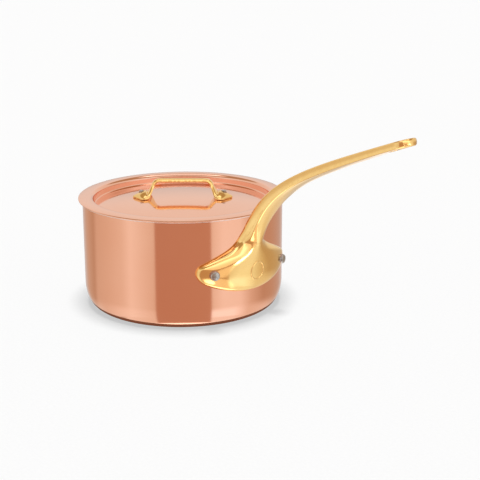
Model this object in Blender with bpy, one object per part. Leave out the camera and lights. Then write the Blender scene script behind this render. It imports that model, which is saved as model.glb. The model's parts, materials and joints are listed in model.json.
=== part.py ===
"""Copper saucepan, 16 cm, with a long cast bronze handle and a sunk copper lid.

Frame: +Z up, origin at the centre of the base's underside, +X along the long handle.
Sizes are in millimetres and become metres when a mesh is made.
"""
import math

import bmesh
import bpy
import numpy as np
from mathutils import Matrix, Vector

MM = 0.001
GAP = 0.3                    # left between two pieces that meet
TURN_STEPS = 60              # facets round the pan and the lid
RIVET_STEPS = 16             # facets round a rivet and round the hole it sits in

# Pan bowl: copper outside, a steel lining bonded inside it
WALL_RADIUS = 81.65
RIM_HEIGHT = 87.1
CORNER_WIDTH = 9.0           # the base turns into the wall over this width ...
CORNER_HEIGHT = 19.0         # ... and this height
COPPER = 1.4
LINING = 0.3
LINING_INSET = COPPER + GAP
BOWL_INSIDE = LINING_INSET + LINING

# Lid: a flat flange on the rim, a wall down, and a gently domed centre
LID_RADIUS = 85.0
LID_TOP = 88.8
LID_COPPER = 0.9
LID_LINING_INSET = LID_COPPER + 0.2
LID_INSIDE = LID_LINING_INSET + LINING
LID_LINING_RADIUS = LID_RADIUS - 0.5
LID_WALL_RADIUS = 72.5
SHOULDER_RADIUS = 3.0        # between the flange and the wall
FILLET_RADIUS = 1.2          # between the wall and the centre
DOME_RADIUS = 450.0
DOME_TOP = 87.2

# Long handle
PLATE_RADIUS = WALL_RADIUS + GAP   # the back of the base plate lies on this
NECK_FOOT = 58.0             # height where the handle starts to leave the wall
KNEE = Vector((PLATE_RADIUS, 70.7))
KNEE_STEPS = 4               # of the sixty steps of the neck and bar's curve, taken by the knee
NECK_ANGLE = 65.0            # slope of the neck above the knee, degrees
NECK_REACH = 55.7
BAR_ANGLE = 20.6             # slope of the bar at its end
BAR_REACH = 106.0
BAR_END = Vector((242.6, 171.7))
UNWRAP_HEIGHTS = (60.0, 88.0)      # from here to here the section turns from curved to flat
END_RADIUS = 9.5
BAR_EDGE = 0.8               # rounding of the bar's edges ...
END_ROUNDING = 1.6           # ... and of the underside's edge at the very end
HOLE_WIDTH = 9.0
HOLE_LENGTH = 16.0
HOLE_FROM_END = 5.2          # metal left between the hanging hole and the end

# Pan rivets
RIVET_ANGLE = 22.5           # each side of the handle's plane, degrees
RIVET_HEIGHT = 45.8
RIVET_RADIUS = 3.65
RIVET_TIP = 92.3             # distance of the outer end from the pan's axis
RIVET_HEAD_RADIUS = 6.5
RIVET_HEAD_DEPTH = 2.2

# Lid handle, a strip bent to a bracket
LID_HANDLE_TURN = 49.4       # the way the lid is set on the pan, degrees from +X
GRIP_UNDERSIDE = 98.9        # height of the bar's underside
GRIP_CORNER = 21.6           # where the bar turns down, from the lid's axis
LEG_FOOT = 26.6              # where the leg turns outward
FOOT_TIP = 40.7
GRIP_BEND = 4.2
FOOT_BEND = 4.6
LID_RIVET_REACH = 33.8
LID_RIVET_RADIUS = 1.9
LID_RIVET_TOP = 92.0
LID_RIVET_HEAD_RADIUS = 3.6
LID_RIVET_HEAD_DEPTH = 1.4

# Stations of a cast strip, laid out flat. Each is a line across the strip:
# (along at the middle, half width, along at the sides, side thickness,
#  middle thickness, how narrow the thick middle is)
LONG_HANDLE_STATIONS = [
    (28.2, 39.7, 37.5, 3.0, 5.2, 0.7),
    (33.0, 43.4, 41.2, 3.0, 8.2, 0.75),
    (40.0, 45.3, 46.2, 3.0, 10.1, 0.75),
    (47.0, 43.2, 51.2, 3.2, 11.0, 0.8),
    (53.0, 36.8, 54.6, 4.2, 11.7, 1.0),
    (58.0, 29.4, 58.0, 5.4, 12.2, 1.4),
    (62.5, 21.2, 61.9, 6.0, 12.5, 1.8),
    (66.5, 15.6, 65.4, 6.4, 12.8, 1.9),
    (70.5, 12.0, 69.4, 6.8, 12.9, 1.6),
    (75.5, 10.0, 75.0, 7.5, 12.4, 1.3),
    (82.0, 9.3, 82.0, 7.9, 11.1, 1.0),
    (92.0, 9.1, 92.0, 8.0, 9.8, 1.0),
    (106.0, 9.4, 106.0, 7.8, 8.9, 1.0),
    (126.0, 9.6, 126.0, 7.1, 8.1, 1.0),
    (152.0, 9.5, 152.0, 6.2, 7.4, 1.0),
    (182.0, 9.5, 182.0, 5.8, 6.9, 1.0),
    (212.0, 9.5, 212.0, 5.4, 6.1, 1.0),
    (240.0, 9.5, 240.0, 4.9, 5.3, 1.0),
]
# By the distance along the handle: the rounding of its front and back edges, and how far its
# sides lean in for each unit of depth
FRONT_EDGE = {46: 5.4, 60: 3.4, 110: 1.2}
BACK_EDGE = {66: 0.0, 80: BAR_EDGE}
SIDE_LEAN = {50: 0.1, 72: 0.22, 110: 0.2, 150: 0.12}
LID_HANDLE_STATIONS = [
    (0.0, 3.3, 0.0, 2.2, 3.0, 1.0),
    (14.0, 3.3, 14.0, 2.2, 3.0, 1.0),
    (20.0, 3.6, 20.0, 2.2, 2.9, 1.0),
    (24.0, 4.6, 24.4, 2.2, 2.8, 1.0),
    (28.0, 7.2, 28.6, 2.1, 3.1, 1.0),
    (32.0, 10.2, 32.6, 2.0, 4.1, 1.0),
    (36.0, 11.6, 36.0, 1.8, 5.2, 1.0),
    (40.0, 10.6, 39.4, 1.5, 4.8, 1.0),
    (44.0, 7.0, 42.6, 1.3, 3.1, 1.0),
    (47.0, 2.6, 45.8, 1.2, 1.8, 1.0),
]


def arc(centre, radii, start, end, steps):
    """Points of an elliptical arc from start to end, in degrees."""
    points = []
    for step in range(steps + 1):
        angle = math.radians(start + (end - start) * step / steps)
        points.append((centre[0] + radii[0] * math.cos(angle),
                       centre[1] + radii[1] * math.sin(angle)))
    return points


def make_material(name, colour, roughness, metallic=1.0):
    material = bpy.data.materials.new(name)
    material.use_nodes = True
    shader = material.node_tree.nodes["Principled BSDF"]
    shader.inputs["Base Color"].default_value = (*colour, 1.0)
    shader.inputs["Roughness"].default_value = roughness
    shader.inputs["Metallic"].default_value = metallic
    return material


def make_object(name, bm, material):
    """Turns a bmesh in millimetres into a named object in metres."""
    bmesh.ops.recalc_face_normals(bm, faces=bm.faces)
    bmesh.ops.scale(bm, vec=(MM, MM, MM), verts=bm.verts)
    mesh = bpy.data.meshes.new(name)
    bm.to_mesh(mesh)
    bm.free()
    mesh.materials.append(material)
    mesh.shade_smooth()
    mesh.set_sharp_from_angle(angle=math.radians(35))
    obj = bpy.data.objects.new(name, mesh)
    bpy.context.scene.collection.objects.link(obj)
    return obj


def turned(name, outline, steps, material, place=Matrix()):
    """A solid turned about Z from a (radius, height) outline whose two ends are on the axis."""
    bm = bmesh.new()
    rings = []
    for radius, height in outline:
        if radius < 1e-6:
            rings.append([bm.verts.new(place @ Vector((0.0, 0.0, height)))] * steps)
            continue
        ring = []
        for step in range(steps):
            angle = 2 * math.pi * step / steps
            corner = Vector((radius * math.cos(angle), radius * math.sin(angle), height))
            ring.append(bm.verts.new(place @ corner))
        rings.append(ring)
    for low, high in zip(rings, rings[1:]):
        for step in range(steps):
            after = (step + 1) % steps
            corners = [low[step], low[after], high[after], high[step]]
            bm.faces.new(list(dict.fromkeys(corners)))
    return make_object(name, bm, material)


def cut(obj, cutter):
    """Takes the cutter's shape out of the object."""
    cutter.hide_render = True
    cutter.display_type = "WIRE"
    modifier = obj.modifiers.new("cut_" + cutter.name, "BOOLEAN")
    modifier.operation = "DIFFERENCE"
    modifier.solver = "EXACT"
    modifier.object = cutter


# --- Pan bowl ---

def bowl_surface(inset):
    """The bowl's outer surface moved inward by inset, from the axis up to the rim."""
    corner_centre = (WALL_RADIUS - CORNER_WIDTH, CORNER_HEIGHT)
    corner_radii = (CORNER_WIDTH - inset, CORNER_HEIGHT - inset)
    corner = arc(corner_centre, corner_radii, -90, 0, 5)
    return [(0.0, inset)] + corner + [(WALL_RADIUS - inset, RIM_HEIGHT)]


def bowl_layer(name, outer_inset, inner_inset, material):
    outline = bowl_surface(outer_inset) + bowl_surface(inner_inset)[::-1]
    return turned(name, outline, TURN_STEPS, material)


# --- Lid ---

def dome_height(radius):
    """Height of the domed centre's top surface at a distance from the axis."""
    return DOME_TOP - radius ** 2 / (2 * DOME_RADIUS)


def lid_surface(inset, rim_radius):
    """The lid's top surface moved down by inset, from the axis out to rim_radius."""
    edge_slope = math.degrees(math.atan(LID_WALL_RADIUS / DOME_RADIUS))
    fillet_start = -90 - edge_slope
    fillet_x = LID_WALL_RADIUS - FILLET_RADIUS
    dome_edge = fillet_x + FILLET_RADIUS * math.cos(math.radians(fillet_start))
    fillet_z = dome_height(dome_edge) - FILLET_RADIUS * math.sin(math.radians(fillet_start))
    fillet_size = FILLET_RADIUS + inset
    shoulder_size = SHOULDER_RADIUS - inset
    shoulder_centre = (LID_WALL_RADIUS + SHOULDER_RADIUS, LID_TOP - SHOULDER_RADIUS)
    dome = [(r, dome_height(r) - inset) for r in (0.0, 24.0, 48.0)]
    fillet = arc((fillet_x, fillet_z), (fillet_size, fillet_size), fillet_start, 0, 2)
    shoulder = arc(shoulder_centre, (shoulder_size, shoulder_size), 180, 90, 2)
    return dome + fillet + shoulder + [(rim_radius, LID_TOP - inset)]


def lid_layer(name, top_inset, bottom_inset, rim_radius, material):
    outline = lid_surface(top_inset, rim_radius) + lid_surface(bottom_inset, rim_radius)[::-1]
    return turned(name, outline, TURN_STEPS, material)


# --- Cast strips: the two handles ---

class Spine:
    """A path in a vertical plane, read by the distance along it."""

    def __init__(self, points, start=0.0):
        self.points = np.array(points, dtype=float)
        steps = np.linalg.norm(np.diff(self.points, axis=0), axis=1)
        self.along = start + np.concatenate([[0.0], np.cumsum(steps)])
        slopes = np.gradient(self.points, self.along, axis=0)
        self.angle = np.unwrap(np.arctan2(slopes[:, 1], slopes[:, 0]))
        self.end = self.along[-1]

    def at(self, distance):
        """Reach, height and direction at a distance along the path."""
        reach = np.interp(distance, self.along, self.points[:, 0])
        height = np.interp(distance, self.along, self.points[:, 1])
        return reach, height, np.interp(distance, self.along, self.angle)


def bezier(controls, steps):
    """Points of a cubic curve, without its first."""
    points = []
    for step in range(1, steps + 1):
        t = step / steps
        weights = ((1 - t) ** 3, 3 * (1 - t) ** 2 * t, 3 * (1 - t) * t ** 2, t ** 3)
        x = sum(weight * control[0] for weight, control in zip(weights, controls))
        z = sum(weight * control[1] for weight, control in zip(weights, controls))
        points.append((x, z))
    return points


def bent_path(corners, radii, steps=8):
    """A path of straight runs with a round bend at each inner corner."""
    corners = [Vector(corner) for corner in corners]
    points = [corners[0]]
    for before, corner, after, radius in zip(corners, corners[1:], corners[2:], radii):
        back = (before - corner).normalized()
        ahead = (after - corner).normalized()
        half_angle = back.angle(ahead) / 2
        centre = corner + (back + ahead).normalized() * (radius / math.sin(half_angle))
        tangent = radius / math.tan(half_angle)
        first = corner + back * tangent - centre
        last = corner + ahead * tangent - centre
        for step in range(steps + 1):
            blend = step / steps
            swing = first.lerp(last, blend)
            points.append(centre + swing.normalized() * radius)
    points.append(corners[-1])
    return points


def smooth_rows(stations, step_length):
    """Rows about step_length apart on smooth curves through the stations."""
    table = np.array(stations)
    table = np.vstack([2 * table[0] - table[1], table, 2 * table[-1] - table[-2]])
    rows = []
    for before, start, end, after in zip(table, table[1:], table[2:], table[3:]):
        count = max(1, round((end[0] - start[0]) / step_length))
        for step in range(count):
            t = step / count
            rows.append(start + 0.5 * t * (end - before + t * (
                2 * before - 5 * start + 4 * end - after + t * (
                    3 * (start - end) + after - before))))
    rows.append(table[-2])
    return rows


def edge_drop(distance, radius):
    """How far a rounded edge has fallen away at a distance from the outline."""
    if distance >= radius:
        return 0.0
    return radius - math.sqrt(radius ** 2 - (radius - distance) ** 2)


def cast_strip(name, rows, columns, front_edge, back_edge, lean, to_space, material):
    """A closed solid between a strip's back and front faces, with rounded edges.

    rows come from smooth_rows; front_edge and back_edge give the edge radius at a distance
    along the strip, and lean how far the sides come in for each unit of depth; to_space takes
    (across, along, out) to a point.
    """
    bm = bmesh.new()
    grid = []
    first, last = rows[0][0], rows[-1][0]
    for middle, half_width, side, side_depth, middle_depth, narrowness in rows:
        front, back = [], []
        for column in range(-columns, columns + 1):
            v = math.sin(math.pi / 2 * column / columns)   # closer together at the edges
            across = half_width * v
            along = middle + (side - middle) * v ** 2
            crown = (middle_depth - side_depth) * (1 - v ** 2) ** narrowness
            depth = side_depth + crown
            front_radius = min(front_edge(along), 0.8 * side_depth)
            to_side = half_width * (1 - abs(v))
            to_end = min(middle - first, last - middle)
            front_drop = max(edge_drop(to_side, front_radius), edge_drop(to_end, front_radius))
            back_drop = max(edge_drop(to_side, back_edge(along)),
                            edge_drop(to_end, back_edge(along)))
            narrowed = across * (1 - lean(along) * side_depth / half_width)
            front.append(bm.verts.new(to_space(narrowed, along, depth - front_drop)))
            back.append(bm.verts.new(to_space(across, along, back_drop)))
        grid.append(front + back[::-1])
    around = len(grid[0])
    for low, high in zip(grid, grid[1:]):
        for place in range(around):
            after = (place + 1) % around
            bm.faces.new((low[place], low[after], high[after], high[place]))
    for row in (grid[0], grid[-1]):
        for place in range(around // 2 - 1):
            bm.faces.new((row[place], row[place + 1], row[around - 2 - place],
                          row[around - 1 - place]))
    return make_object(name, bm, material)


def along_table(table):
    """A value read off a table of places along the strip."""
    places, values = list(table), list(table.values())
    return lambda along: float(np.interp(along, places, values))


def long_handle_spine():
    """Up the wall, round the knee and out along the bar."""
    neck = Vector((math.cos(math.radians(NECK_ANGLE)), math.sin(math.radians(NECK_ANGLE))))
    bar = Vector((math.cos(math.radians(BAR_ANGLE)), math.sin(math.radians(BAR_ANGLE))))
    controls = [KNEE, KNEE + neck * NECK_REACH, BAR_END - bar * BAR_REACH, BAR_END]
    curve = bezier(controls, 60)
    knee_end = Vector(curve[KNEE_STEPS])
    knee = bezier([(PLATE_RADIUS, NECK_FOOT), KNEE, KNEE, knee_end], 16)
    return Spine([(PLATE_RADIUS, 0.0), (PLATE_RADIUS, NECK_FOOT)] + knee + curve[KNEE_STEPS + 1:])


def wall_curvature(height):
    """One over the plate's radius on the wall, falling smoothly to zero along the neck."""
    low, high = UNWRAP_HEIGHTS
    t = min(max((height - low) / (high - low), 0.0), 1.0)
    return (1 - t * t * (3 - 2 * t)) / PLATE_RADIUS


def long_handle(material):
    spine = long_handle_spine()
    stations = list(LONG_HANDLE_STATIONS)
    centre = spine.end - END_RADIUS
    for angle in (0, 15, 30, 40, 45):
        sine, cosine = math.sin(math.radians(angle)), math.cos(math.radians(angle))
        depths = LONG_HANDLE_STATIONS[-1][3:]
        middle = centre + END_RADIUS * angle / 45
        stations.append((middle, END_RADIUS * cosine, centre + END_RADIUS * sine, *depths))

    def to_space(across, along, out):
        reach, height, angle = spine.at(along)
        curvature = wall_curvature(along)
        turn = curvature * across
        sag = (1 - math.cos(turn)) / curvature if curvature else 0.0
        wide = math.sin(turn) / curvature if curvature else across
        level = out * math.cos(turn) - sag
        return Vector((reach + level * math.sin(angle), wide + out * math.sin(turn),
                       height - level * math.cos(angle)))

    front_edge = along_table({**FRONT_EDGE, centre: BAR_EDGE, spine.end: END_ROUNDING})
    rows = smooth_rows(stations, 5.0)
    handle = cast_strip("long_handle", rows, 7, front_edge, along_table(BACK_EDGE),
                        along_table(SIDE_LEAN), to_space, material)
    reach, height, angle = spine.at(spine.end - HOLE_FROM_END - HOLE_LENGTH / 2)
    cut(handle, slot_cutter(reach, height, angle))
    return handle


def slot_cutter(reach, height, angle):
    """A long round-ended peg square to the bar, for the hanging hole."""
    bm = bmesh.new()
    straight = (HOLE_LENGTH - HOLE_WIDTH) / 2
    radii = (HOLE_WIDTH / 2, HOLE_WIDTH / 2)
    outline = arc((straight, 0), radii, -90, 90, 6) + arc((-straight, 0), radii, 90, 270, 6)
    tilt = Matrix.Rotation(-angle, 4, "Y")
    place = Matrix.Translation((reach, 0.0, height)) @ tilt
    rings = []
    for level in (-20.0, 20.0):
        rings.append([bm.verts.new(place @ Vector((x, y, level))) for x, y in outline])
    bm.faces.new(rings[0])
    bm.faces.new(rings[1])
    for step in range(len(outline)):
        after = (step + 1) % len(outline)
        bm.faces.new((rings[0][step], rings[0][after], rings[1][after], rings[1][step]))
    return make_object("hanging_hole_cutter", bm, CUTTER)


def lid_handle(material):
    corners = [(0.0, GRIP_UNDERSIDE), (GRIP_CORNER, GRIP_UNDERSIDE),
               (LEG_FOOT, dome_height(LEG_FOOT) + GAP), (FOOT_TIP, dome_height(FOOT_TIP) + GAP)]
    spine = Spine(bent_path(corners, (GRIP_BEND, FOOT_BEND)))
    stretch = spine.end / LID_HANDLE_STATIONS[-1][0]
    half = []
    for middle, half_width, side, *depths in LID_HANDLE_STATIONS:
        half.append((middle * stretch, half_width, side * stretch, *depths))
    other_half = []
    for middle, half_width, side, *depths in half[:0:-1]:
        other_half.append((-middle, half_width, -side, *depths))
    turn = math.radians(LID_HANDLE_TURN)
    lengthwise = Vector((math.cos(turn), math.sin(turn), 0.0))
    crosswise = Vector((-math.sin(turn), math.cos(turn), 0.0))

    def to_space(across, along, out):
        reach, height, angle = spine.at(abs(along))
        reach -= out * math.sin(angle)
        point = lengthwise * math.copysign(reach, along) + crosswise * across
        point.z = height + out * math.cos(angle)
        return point

    rows = smooth_rows(other_half + half, 3.0)
    return cast_strip("lid_handle", rows, 4, lambda along: 0.8, lambda along: 0.0,
                      lambda along: 0.05, to_space, material)


# --- Rivets ---

def along_axis(origin, direction):
    """A placement that takes +Z to direction at origin."""
    turn = Vector((0, 0, 1)).rotation_difference(direction).to_matrix().to_4x4()
    return Matrix.Translation(origin) @ turn


def rivet(name, place, radius, tip, head_radius, head_depth, material):
    """A domed head below zero, a shank up from zero and a softly rounded end at tip."""
    head = [(head_radius * x, -head_depth * z) for x, z in arc((0, 0), (1, 1), 90, 0, 4)]
    rounding = 0.25 * radius
    end = arc((radius - rounding, tip - rounding), (rounding, rounding), 0, 90, 3)
    outline = head + [(radius, 0.0)] + end + [(0.0, tip)]
    return turned(name, outline, RIVET_STEPS, material, place)


def hole_cutter(name, place, radius, low, high):
    outline = [(0.0, low), (radius, low), (radius, high), (0.0, high)]
    return turned(name, outline, RIVET_STEPS, CUTTER, place)


def fit_rivets(side, sign, pan_parts, lid_parts, material):
    """Both rivets on one side, and the holes they sit in."""
    angle = math.radians(RIVET_ANGLE) * sign
    outward = Vector((math.cos(angle), math.sin(angle), 0.0))
    # the flat underside of the head clears the round wall at the head's edge
    inside = WALL_RADIUS - BOWL_INSIDE
    seat = math.sqrt(inside ** 2 - RIVET_HEAD_RADIUS ** 2) - GAP
    place = along_axis(outward * seat + Vector((0, 0, RIVET_HEIGHT)), outward)
    rivet("handle_rivet_" + side, place, RIVET_RADIUS, RIVET_TIP - seat,
          RIVET_HEAD_RADIUS, RIVET_HEAD_DEPTH, material)
    cutter = hole_cutter("handle_hole_cutter_" + side, place, RIVET_RADIUS + GAP, -5, 30)
    for part in pan_parts:
        cut(part, cutter)

    turn = math.radians(LID_HANDLE_TURN)
    reach = Vector((math.cos(turn), math.sin(turn), 0.0)) * (LID_RIVET_REACH * sign)
    seat = dome_height(LID_RIVET_REACH + LID_RIVET_HEAD_RADIUS) - LID_INSIDE - GAP
    place = Matrix.Translation(reach + Vector((0, 0, seat)))
    rivet("lid_rivet_" + side, place, LID_RIVET_RADIUS, LID_RIVET_TOP - seat,
          LID_RIVET_HEAD_RADIUS, LID_RIVET_HEAD_DEPTH, material)
    cutter = hole_cutter("lid_hole_cutter_" + side, place, LID_RIVET_RADIUS + GAP, -5, 20)
    for part in lid_parts:
        cut(part, cutter)


for old in list(bpy.data.objects):
    bpy.data.objects.remove(old)

CUTTER = make_material("cutter", (0.2, 0.2, 0.2), 0.5, 0.0)
copper = make_material("copper", (0.83, 0.43, 0.29), 0.16)
bronze = make_material("bronze", (0.87, 0.60, 0.22), 0.20)
lining_steel = make_material("lining_steel", (0.62, 0.61, 0.59), 0.35)
rivet_steel = make_material("rivet_steel", (0.55, 0.54, 0.53), 0.30)

pan = [
    bowl_layer("pan_shell", 0.0, COPPER, copper),
    bowl_layer("pan_lining", LINING_INSET, BOWL_INSIDE, lining_steel),
    long_handle(bronze),
]
lid = [
    lid_layer("lid_shell", 0.0, LID_COPPER, LID_RADIUS, copper),
    lid_layer("lid_lining", LID_LINING_INSET, LID_INSIDE, LID_LINING_RADIUS, lining_steel),
    lid_handle(bronze),
]
fit_rivets("left", 1, pan, lid, rivet_steel)
fit_rivets("right", -1, pan, lid, rivet_steel)
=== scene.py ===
"""Looks of the copper saucepan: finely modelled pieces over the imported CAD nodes, and a studio.

Sizes are in millimetres and become metres when a mesh is made. Frame: +Z up, origin at the
centre of the base's underside, +X along the long handle.
"""
import json
import math

import bmesh
import bpy
import numpy as np
from mathutils import Matrix, Vector
from mathutils.bvhtree import BVHTree

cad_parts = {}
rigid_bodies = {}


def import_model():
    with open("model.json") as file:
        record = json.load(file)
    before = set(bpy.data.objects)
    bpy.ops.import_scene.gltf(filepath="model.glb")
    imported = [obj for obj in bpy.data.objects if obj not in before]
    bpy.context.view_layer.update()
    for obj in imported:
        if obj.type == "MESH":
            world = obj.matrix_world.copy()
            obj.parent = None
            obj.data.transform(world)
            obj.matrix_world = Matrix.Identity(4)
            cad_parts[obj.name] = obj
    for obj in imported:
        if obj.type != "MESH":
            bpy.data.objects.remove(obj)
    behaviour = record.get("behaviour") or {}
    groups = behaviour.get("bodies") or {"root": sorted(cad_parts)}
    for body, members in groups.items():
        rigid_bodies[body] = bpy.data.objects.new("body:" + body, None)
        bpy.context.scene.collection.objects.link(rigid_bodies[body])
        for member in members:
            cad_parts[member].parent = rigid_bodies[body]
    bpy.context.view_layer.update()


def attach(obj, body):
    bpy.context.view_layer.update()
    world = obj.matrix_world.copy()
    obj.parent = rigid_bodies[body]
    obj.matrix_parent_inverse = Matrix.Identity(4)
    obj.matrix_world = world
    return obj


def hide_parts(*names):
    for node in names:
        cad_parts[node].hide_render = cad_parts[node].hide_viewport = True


for old in list(bpy.data.objects):
    bpy.data.objects.remove(old)
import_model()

MM = 0.001
GAP = 0.3                    # left between pieces that meet
TURN_STEPS = 192             # facets round the pan and the lid
RIVET_STEPS = 48             # facets round a rivet and its crevice
CAST_SHARP_ANGLE = 60        # a casting's edges are smooth up to this, degrees

# Pan bowl: copper outside, a steel lining bonded inside it
WALL_RADIUS = 81.65
RIM_HEIGHT = 87.1
CORNER_WIDTH = 9.0           # the base turns into the wall over this width ...
CORNER_HEIGHT = 19.0         # ... and this height
COPPER = 1.4
BOWL_INSIDE = 2.0            # copper and lining together
RIM_ROUNDING = 0.4
LINING_ROUNDING = 0.3
SEAM_ROUNDING = 0.05         # where the copper and the lining meet at the rim

# Lid: a flat flange on the rim, a wall down, and a gently domed centre
LID_RADIUS = 85.0
LID_TOP = 88.8
LID_COPPER = 0.9
LID_THICKNESS = 1.4
LID_WALL_RADIUS = 72.5
SHOULDER_RADIUS = 3.0        # between the flange and the wall
FILLET_RADIUS = 1.2          # between the wall and the centre
DOME_RADIUS = 450.0
DOME_TOP = 87.2
DOME_REACH = 68.0            # the dome's outermost ring, inside the fillet
DROOP_START = 77.0           # outside this the flange curves gently down ...
DROOP_SLOPE = 0.17           # ... to this slope at its edge
FLANGE_EDGE = 0.4            # rounding of the copper's edge ...
FLANGE_MARGIN = 0.2          # ... which the last ring of the flange stops short of
LID_LINING_SETBACK = 0.5     # the lining stops this far inside the copper's edge
LID_LINING_EDGE = 0.2

# Long handle
PLATE_RADIUS = WALL_RADIUS + GAP   # the back of the base plate lies on this
NECK_FOOT = 58.0             # height where the handle starts to leave the wall
KNEE = Vector((PLATE_RADIUS, 70.7))
CURVE_STEPS = 60             # of the curve of the neck and bar ...
KNEE_STEPS = 4               # ... and how many of them the knee takes
NECK_ANGLE = 65.0            # slope of the neck above the knee, degrees
NECK_REACH = 55.7
BAR_ANGLE = 20.6             # slope of the bar at its end
BAR_REACH = 106.0
BAR_END = Vector((242.6, 171.7))
UNWRAP_HEIGHTS = (60.0, 88.0)      # from here to here the section turns from curved to flat
END_RADIUS = 9.5
END_ANGLES = (0, 15, 30, 45)       # rows round the plain round end, degrees
BAR_EDGE = 1.2               # rounding of the bar's edges ...
END_ROUNDING = 1.4           # ... and of the underside's edge at the very end
END_SHORTENING = 0.45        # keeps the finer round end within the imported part
HOLE_WIDTH = 9.0
HOLE_LENGTH = 16.0
HOLE_FROM_END = 5.2          # metal left between the hanging hole and the end
HOLE_LIP = 0.9               # rounding of the hole's two rims

# Pan rivets
RIVET_ANGLE = 22.5           # each side of the handle's plane, degrees
RIVET_HEIGHT = 45.8
RIVET_RADIUS = 3.65
RIVET_TIP = 92.3             # distance of the outer end from the pan's axis
RIVET_HEAD_RADIUS = 6.5
RIVET_HEAD_DEPTH = 2.2
RIVET_CREVICE = 0.35         # gap round a rivet where it comes out of a casting ...
CREVICE_START = 2.6          # ... from this far above the rivet's head

# Medallion: a plain oval bead on the base plate
MEDALLION_WIDTH = 12.0
MEDALLION_LENGTH = 14.5
MEDALLION_HEIGHT = 45.6
MEDALLION_BEAD = 0.6
MEDALLION_STEPS = 48
MEDALLION_CORNERS = 8        # round the bead's section
MEDALLION_LIFT = 0.2         # of the bead's middle off the plate, as a share of its radius

# Lid handle, a strip bent to a bracket
LID_HANDLE_TURN = 49.4       # the way the lid is set on the pan, degrees from +X
GRIP_UNDERSIDE = 98.9
GRIP_CORNER = 21.6           # where the bar turns down, from the lid's axis
LEG_FOOT = 26.6              # where the leg turns outward
FOOT_TIP = 40.7
GRIP_BEND = 4.2
GRIP_EDGE = 1.1              # rounding of the strip's edges, outside ...
GRIP_BACK_EDGE = 0.4         # ... and underneath
GRIP_LEAN = 0.05
FOOT_BEND = 4.6
FOOT_GAP = 0.05
LID_RIVET_REACH = 33.8
LID_RIVET_RADIUS = 1.9
LID_RIVET_TOP = 92.0
LID_RIVET_HEAD_RADIUS = 3.6
LID_RIVET_HEAD_DEPTH = 1.4

SIDE_STEPS = 6               # facets up a cast strip's side
SIDE_BULGE = 0.07            # how far the side swells, as a share of its height
EDGE_SHARE = 0.8             # the most of a side's height that the front edge's rounding takes

# Stations of a cast strip, laid out flat. Each is a line across the strip:
# (along at the middle, half width, along at the sides, side thickness,
#  middle thickness, how narrow the thick middle is)
LONG_HANDLE_STATIONS = [
    (28.2, 39.7, 37.5, 3.0, 5.2, 0.7),
    (33.0, 43.4, 41.2, 3.0, 8.2, 0.75),
    (40.0, 45.3, 46.2, 3.0, 10.1, 0.75),
    (47.0, 43.2, 51.2, 3.2, 11.0, 0.8),
    (53.0, 36.8, 54.6, 4.2, 11.7, 1.0),
    (58.0, 29.4, 58.0, 5.4, 12.2, 1.4),
    (62.5, 21.2, 61.9, 6.0, 12.5, 1.8),
    (66.5, 15.6, 65.4, 6.4, 12.8, 1.9),
    (70.5, 12.0, 69.4, 6.8, 12.9, 1.6),
    (75.5, 10.0, 75.0, 7.5, 12.4, 1.3),
    (82.0, 9.3, 82.0, 7.9, 11.1, 1.0),
    (92.0, 9.1, 92.0, 8.0, 9.8, 1.0),
    (106.0, 9.4, 106.0, 7.8, 8.9, 1.0),
    (126.0, 9.6, 126.0, 7.1, 8.1, 1.0),
    (152.0, 9.5, 152.0, 6.2, 7.4, 1.0),
    (182.0, 9.5, 182.0, 5.8, 6.9, 1.0),
    (212.0, 9.5, 212.0, 5.4, 6.1, 1.0),
    (240.0, 9.5, 240.0, 4.9, 5.3, 1.0),
]
# By the distance along the handle: the rounding of its front and back edges, and how far its
# sides lean in for each unit of depth
FRONT_EDGE = {46: 2.4, 60: 3.0, 110: 1.3}
BACK_EDGE = {66: 0.3, 80: BAR_EDGE}
SIDE_LEAN = {50: 0.1, 72: 0.22, 110: 0.2, 150: 0.12}
LID_HANDLE_STATIONS = [
    (0.0, 3.3, 0.0, 2.2, 3.0, 1.0),
    (14.0, 3.3, 14.0, 2.2, 3.0, 1.0),
    (20.0, 3.6, 20.0, 2.2, 2.9, 1.0),
    (24.0, 4.6, 24.4, 2.2, 2.8, 1.0),
    (28.0, 7.2, 28.6, 2.1, 3.1, 1.0),
    (32.0, 10.2, 32.6, 2.0, 4.1, 1.0),
    (36.0, 11.6, 36.0, 1.8, 5.2, 1.0),
    (40.0, 10.6, 39.4, 1.5, 4.8, 1.0),
    (44.0, 7.0, 42.6, 1.3, 3.1, 1.0),
    (47.0, 2.6, 45.8, 1.2, 1.8, 1.0),
]

# Studio: the camera in metres and degrees, the floor in millimetres
CAMERA_PLACE = (0.71115, -0.54769, 0.31158)
CAMERA_PITCH = 73.69
CAMERA_TURN = 49.4
CAMERA_LENS = 84.45
CAMERA_AZIMUTH = -38.2       # the way from the pan to the camera, degrees from +X
FLOOR_RADIUS = 12000.0
FLOOR_HEIGHT = -0.05
PAINTED_SHADOW_RADIUS = 79.0          # of the dark sheet under the floor that the metal mirrors: painted shade for the pan's contact shadow
PAINTED_SHADOW_HEIGHT = -0.3
OVERHEAD_STRENGTH = 1.35
OVERHEAD_ANGLE = 18.0        # the wider, the softer the shadow
BACKDROP = (0.98, 0.98, 0.98, 1.0)      # what the camera sees past the floor
MATT_LIGHT = (0.62, 0.62, 0.62, 1.0)    # what a matt surface sees all round


# --- Shapes ---

def arc(centre, radii, start, end, steps):
    """Points of an elliptical arc from start to end, in degrees."""
    points = []
    for step in range(steps + 1):
        angle = math.radians(start + (end - start) * step / steps)
        points.append((centre[0] + radii[0] * math.cos(angle),
                       centre[1] + radii[1] * math.sin(angle)))
    return points


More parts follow.
